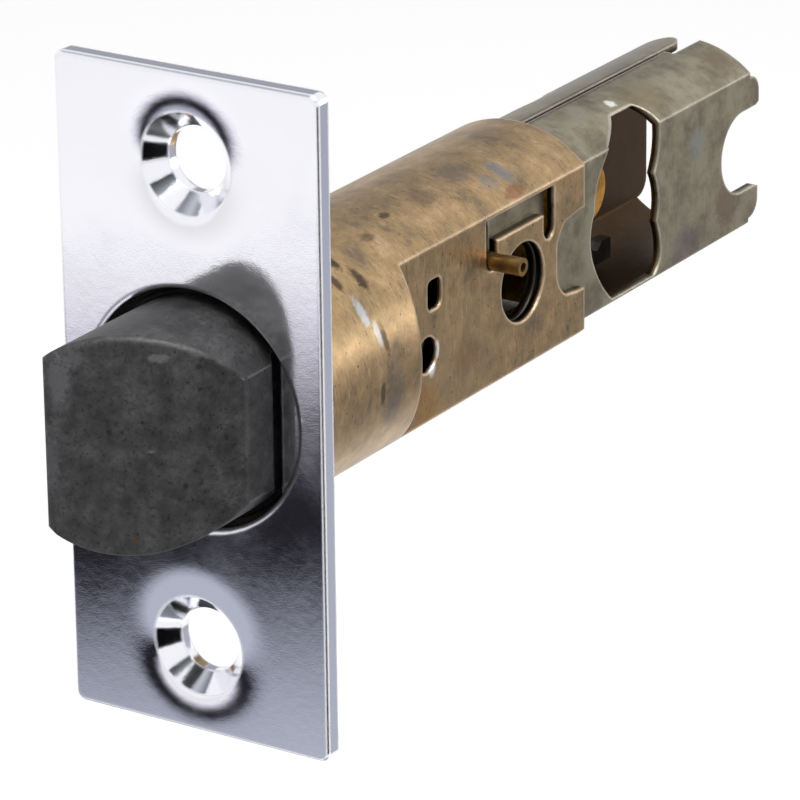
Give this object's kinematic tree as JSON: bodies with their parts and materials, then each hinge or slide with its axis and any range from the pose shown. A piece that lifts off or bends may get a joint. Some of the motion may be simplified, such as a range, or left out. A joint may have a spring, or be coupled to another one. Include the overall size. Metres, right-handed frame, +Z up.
{
  "type": "tubular spring latch",
  "caption": "Tubular door latch with a bevelled spring bolt, flat faceplate, stepped tube barrel and a sliding rear case for the spindle.",
  "frame": {"origin": "centre of the faceplate's front face, on the bolt's axis", "axes": "+X out of the door edge along the bolt's throw, +Y the side that the bevel faces, +Z up along the faceplate"},
  "size_m": [0.096, 0.0254, 0.0572],
  "materials": {
    "plate_chrome": "bright chrome plate with fine orange peel",
    "barrel_dichromate": "gold-brown dichromate over zinc, scratched",
    "case_zinc": "dull zinc plate, grey-olive",
    "spacer_dichromate": "gold dichromate over zinc",
    "bolt_sintered": "dark sintered iron, lightly pitted",
    "inner_steel": "plain zinc plate",
    "drawbar_steel": "pressed steel, oiled",
    "pin_steel": "drawn steel",
    "spring_steel": "spring wire and strip",
    "stud_brass": "turned brass"
  },
  "bodies": {
    "case": {"faceplate": "plate_chrome", "barrel": "barrel_dichromate", "bolt_collar": "inner_steel", "spring_seat": "inner_steel", "rear_case": "case_zinc", "case_spacer": "spacer_dichromate"},
    "bolt": {"bolt": "bolt_sintered", "bolt_cross_pin": "pin_steel", "drawbar": "drawbar_steel", "upper_pull_arm": "drawbar_steel", "lower_pull_arm": "drawbar_steel", "upper_link_clip": "spring_steel", "lower_link_clip": "spring_steel", "clip_rivets": "pin_steel", "bolt_spring": "spring_steel"},
    "adjuster": {"adjuster_stud": "stud_brass", "adjuster_slide": "inner_steel", "adjuster_spring": "spring_steel"}
  },
  "joints": [
    {"name": "bolt_slide", "type": "slide", "parent": "case", "child": "bolt", "axis": [-1, 0, 0], "range_m": [0, 0.0122], "stiffness_N_per_m": 500, "springref_m": -0.012, "deforming": ["bolt_spring"]},
    {"name": "adjuster_lift", "type": "slide", "parent": "case", "child": "adjuster", "axis": [0, 0, 1], "range_m": [0, 0.00265], "stiffness_N_per_m": 120, "springref_m": -0.003, "deforming": ["adjuster_spring"]}
  ]
}
